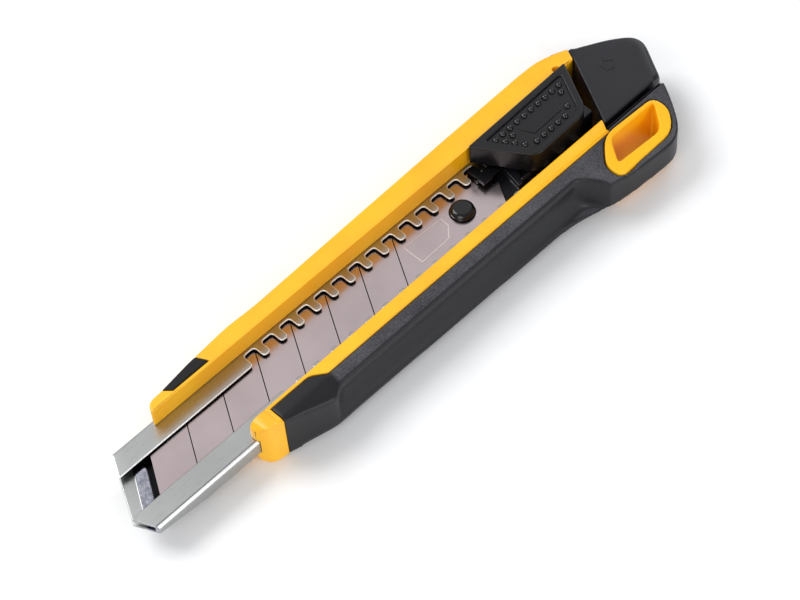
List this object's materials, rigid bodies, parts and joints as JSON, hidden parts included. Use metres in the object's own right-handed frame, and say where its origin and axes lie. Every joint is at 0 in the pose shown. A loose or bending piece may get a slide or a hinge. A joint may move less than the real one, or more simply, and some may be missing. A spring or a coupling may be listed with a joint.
{
  "type": "utility knife",
  "caption": "Auto-lock snap-off utility knife with a steel blade channel, rubber grip, thumb slider, lanyard eye and pull-off end cap.",
  "frame": {"origin": "centre of the bounding box's bottom, on the surface that the knife's back rests on", "axes": "+X from the nose to the tail cap, +Y from the grip side to the spine, +Z out of the open face with the slider"},
  "size_m": [0.1578, 0.0366, 0.0165],
  "materials": {
    "yellow_abs": "amber yellow moulded ABS, satin to semi-gloss",
    "black_rubber": "fine-grained charcoal elastomer overmould",
    "black_plastic": "black moulded plastic, fine satin",
    "slider_plastic": "black moulded plastic with raised dimples",
    "channel_steel": "satin stainless sheet with bright sheared edges",
    "blade_steel": "ground and oiled carbon tool steel",
    "spring_steel": "dark spring steel"
  },
  "bodies": {
    "handle": {"housing": "yellow_abs", "grip_overmould": "black_rubber", "nose_pad": "black_rubber", "blade_channel": "channel_steel"},
    "blade_slide": {"blade": "blade_steel", "blade_carrier": "black_plastic", "lock_spring": "spring_steel"},
    "thumb_button": {"slider_button": "slider_plastic"},
    "lock": {"lock_pawl": "spring_steel", "pawl_pin": "spring_steel"},
    "tail_cap": {"end_cap": "black_plastic"}
  },
  "joints": [
    {"name": "blade_feed", "type": "slide", "parent": "handle", "child": "blade_slide", "axis": [-1, 0, 0], "range_m": [0, 0.06]},
    {"name": "button_shift", "type": "slide", "parent": "blade_slide", "child": "thumb_button", "axis": [-1, 0, 0], "range_m": [0, 0.0015], "stiffness_N_per_m": 400},
    {"name": "pawl_retract", "type": "slide", "parent": "blade_slide", "child": "lock", "axis": [0, -1, 0], "range_m": [0, 0.0026], "deforming": ["lock_spring"]},
    {"name": "cap_pull", "type": "slide", "parent": "handle", "child": "tail_cap", "axis": [1, 0, 0], "range_m": [0, 0.03]}
  ],
  "couplings": [
    {"joint": "pawl_retract", "follows": "button_shift", "ratio": 1.7333}
  ]
}
